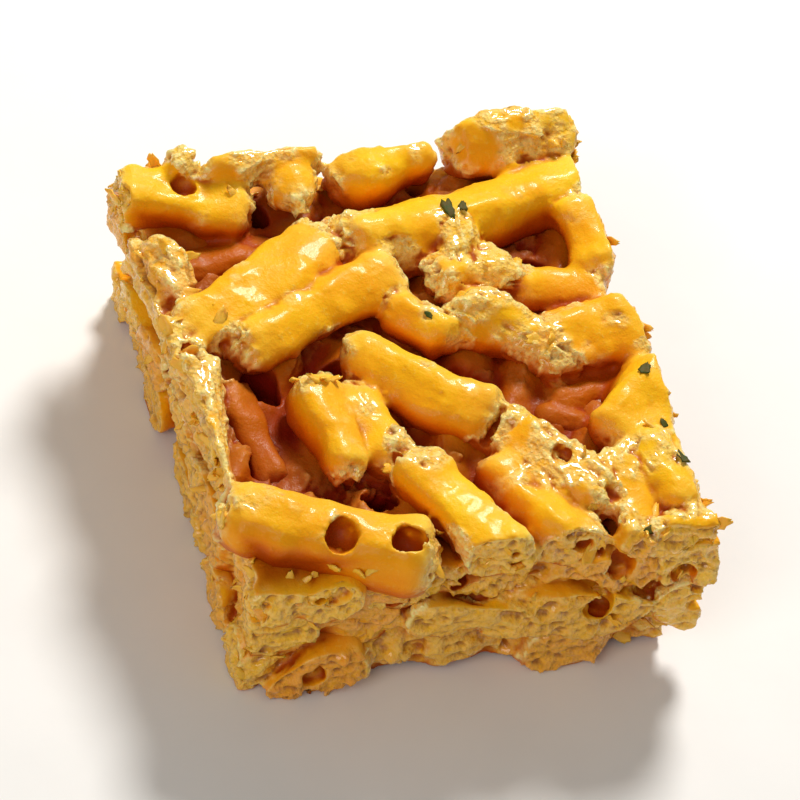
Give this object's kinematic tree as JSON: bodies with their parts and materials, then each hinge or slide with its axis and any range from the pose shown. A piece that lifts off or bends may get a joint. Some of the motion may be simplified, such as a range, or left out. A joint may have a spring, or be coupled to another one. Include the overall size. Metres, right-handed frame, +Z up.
{
  "type": "sachima",
  "caption": "Square-cut block of puffed fried dough strands bound with glossy syrup, lying flat on its underside.",
  "frame": {"origin": "on the resting surface, under the middle of the block's outline", "axes": "+Z up out of the large face, +X and +Y along the two cut sides, with the wider strands running along +X"},
  "size_m": [0.0558, 0.0608, 0.026],
  "materials": {
    "syruped_dough": "golden puffed dough under a thin clear syrup, paler and dry where it is torn or cut"
  },
  "bodies": {
    "root": {"sachima_block": "syruped_dough"}
  },
  "joints": []
}
